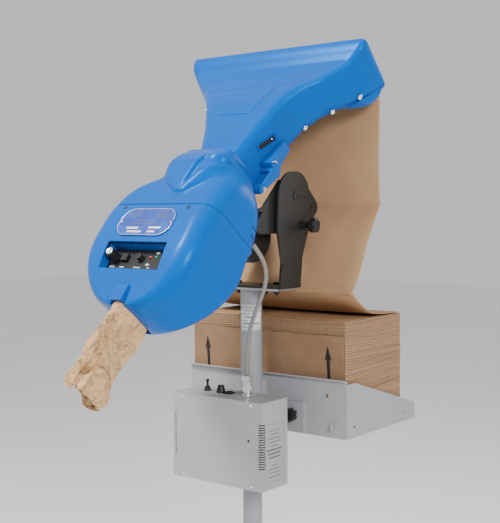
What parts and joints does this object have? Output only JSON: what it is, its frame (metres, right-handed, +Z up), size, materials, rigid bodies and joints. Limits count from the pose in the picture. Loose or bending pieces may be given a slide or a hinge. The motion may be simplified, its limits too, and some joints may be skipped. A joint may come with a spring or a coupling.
{
  "type": "paper void fill converter",
  "caption": "Void-fill paper converter on a column stand: tilting blue head with funnel, fan-fold paper on a tray, control box and crumpled paper coming out.",
  "frame": {"origin": "on the floor, on the column's axis", "axes": "+Z up, the operator and the paper outlet at -Y, the paper pack at +Y, +X to the operator's right"},
  "size_m": [0.56, 0.8138, 1.6654],
  "materials": {
    "blue_plastic": "smooth moulded gloss",
    "black_steel": "satin black powder coat",
    "grey_steel": "light grey powder coat, fine texture",
    "zinc_steel": "bright zinc plate",
    "column_steel": "light grey paint on drawn tube",
    "kraft_paper": "brown kraft, fine fibre",
    "pack_paper": "edges of folded kraft layers",
    "cardboard": "brown corrugated wrap, torn top edge",
    "black_plastic": "moulded black, light sheen",
    "silver_metal": "nickel plate",
    "black_rubber": "soft matte",
    "white_metal": "turned aluminium",
    "cable_grey": "smooth PVC jacket",
    "lamp_lens": "clear lens, one red and one green",
    "plate_blue": "dark blue print on a metal plate",
    "board_green": "circuit board"
  },
  "bodies": {
    "stand": {"stand_base": "grey_steel", "lower_column": "column_steel"},
    "mast": {"upper_column": "column_steel", "column_clamp_collar": "black_plastic", "top_flange": "grey_steel", "yoke": "black_steel", "yoke_bolts": "black_steel", "box_chassis": "grey_steel", "box_cover": "grey_steel", "box_screws": "silver_metal", "power_supply": "board_green", "power_inlet": "black_plastic", "toggle_switch_body": "silver_metal", "switch_boot": "black_rubber", "fuse_holder": "black_plastic", "pedal_socket": "black_plastic", "connector_receptacle": "silver_metal", "connector_plug": "silver_metal", "tray": "grey_steel", "tray_bracket": "grey_steel", "paper_pack": "pack_paper", "pack_wrap": "cardboard", "paper_web": "kraft_paper", "signal_cable": "cable_grey"},
    "column_clamp": {"column_clamp_knob": "black_plastic"},
    "tilt_clamp": {"tilt_clamp_knob": "black_plastic"},
    "tray_clamp": {"tray_knob": "black_plastic"},
    "power_toggle": {"toggle_lever": "black_plastic"},
    "fuse": {"fuse_cap": "black_plastic"},
    "head": {"lower_cover": "blue_plastic", "upper_cover": "blue_plastic", "cover_screws": "black_steel", "data_plate": "plate_blue", "control_panel": "black_plastic", "panel_lamps": "lamp_lens", "panel_board": "board_green", "funnel": "blue_plastic", "funnel_rear_panel": "blue_plastic", "bright_screws": "silver_metal", "funnel_brace": "blue_plastic", "chassis_plate": "black_steel", "tilt_cradle": "black_steel", "inner_frame": "zinc_steel", "feed_motor": "black_steel", "drive_belt": "black_rubber", "outlet_chute": "zinc_steel", "paper_strip": "kraft_paper", "cable_gland": "black_plastic", "pressure_springs": "zinc_steel"},
    "speed_dial": {"speed_knob": "black_plastic"},
    "feed_key": {"feed_button": "black_plastic"},
    "reset_key": {"reset_button": "black_plastic"},
    "drive": {"drive_shaft": "zinc_steel", "drive_wheels": "black_rubber", "drive_pulley": "white_metal"},
    "motor_rotor": {"motor_pulley": "white_metal"},
    "pressure_arm": {"pressure_arms": "zinc_steel"},
    "counter": {"counter_shaft": "zinc_steel", "counter_wheels": "black_rubber"}
  },
  "joints": [
    {"name": "column_height", "type": "slide", "parent": "stand", "child": "mast", "axis": [0, 0, 1], "range_m": [-0.2, 0.05]},
    {"name": "head_tilt", "type": "hinge", "parent": "mast", "child": "head", "pos_m": [0, 0.0186, 1.372], "axis": [1, 0, 0], "range_deg": [-25, 25], "deforming": ["paper_web", "signal_cable"]},
    {"name": "tilt_clamp_turn", "type": "hinge", "parent": "mast", "child": "tilt_clamp", "pos_m": [0.11, 0.038, 1.315], "axis": [1, 0, 0], "range_deg": [0, 360]},
    {"name": "column_clamp_turn", "type": "hinge", "parent": "mast", "child": "column_clamp", "pos_m": [0.02, 0.0402, 0.855], "axis": [1, 0, 0], "range_deg": [0, 360]},
    {"name": "tray_clamp_turn", "type": "hinge", "parent": "mast", "child": "tray_clamp", "pos_m": [0.075, 0.03, 0.945], "axis": [0, 1, 0], "range_deg": [0, 360]},
    {"name": "power_switch", "type": "hinge", "parent": "mast", "child": "power_toggle", "pos_m": [-0.0586, -0.066, 0.9945], "axis": [1, 0, 0], "range_deg": [-12, 12]},
    {"name": "fuse_cap_turn", "type": "hinge", "parent": "mast", "child": "fuse", "pos_m": [-0.0244, -0.066, 0.994], "axis": [0, 0, 1], "range_deg": [0, 45]},
    {"name": "speed_dial_turn", "type": "hinge", "parent": "head", "child": "speed_dial", "pos_m": [-0.057, -0.31657, 1.26815], "axis": [0, -0.766, 0.6428], "range_deg": [-150, 150]},
    {"name": "feed_button_press", "type": "slide", "parent": "head", "child": "feed_key", "axis": [0, 0.766, -0.6428], "range_m": [0, 0.002], "stiffness_N_per_m": 350, "springref_m": -0.002},
    {"name": "reset_button_press", "type": "slide", "parent": "head", "child": "reset_key", "axis": [0, 0.766, -0.6428], "range_m": [0, 0.003], "stiffness_N_per_m": 350, "springref_m": -0.002},
    {"name": "drive_spin", "type": "hinge", "parent": "head", "child": "drive", "pos_m": [0, -0.21363, 1.26792], "axis": [1, 0, 0], "continuous": true},
    {"name": "motor_spin", "type": "hinge", "parent": "head", "child": "motor_rotor", "pos_m": [0, -0.05937, 1.29775], "axis": [1, 0, 0], "continuous": true},
    {"name": "pressure_arm_swing", "type": "hinge", "parent": "head", "child": "pressure_arm", "pos_m": [0, -0.23039, 1.34596], "axis": [1, 0, 0], "range_deg": [-4, 0], "stiffness_Nm_per_rad": 20, "springref_deg": 6.88, "deforming": ["pressure_springs"]},
    {"name": "counter_spin", "type": "hinge", "parent": "pressure_arm", "child": "counter", "pos_m": [0, -0.25653, 1.30392], "axis": [1, 0, 0], "continuous": true}
  ],
  "couplings": [
    {"joint": "motor_spin", "follows": "drive_spin", "ratio": 2.25},
    {"joint": "counter_spin", "follows": "drive_spin", "ratio": -1.1667}
  ]
}
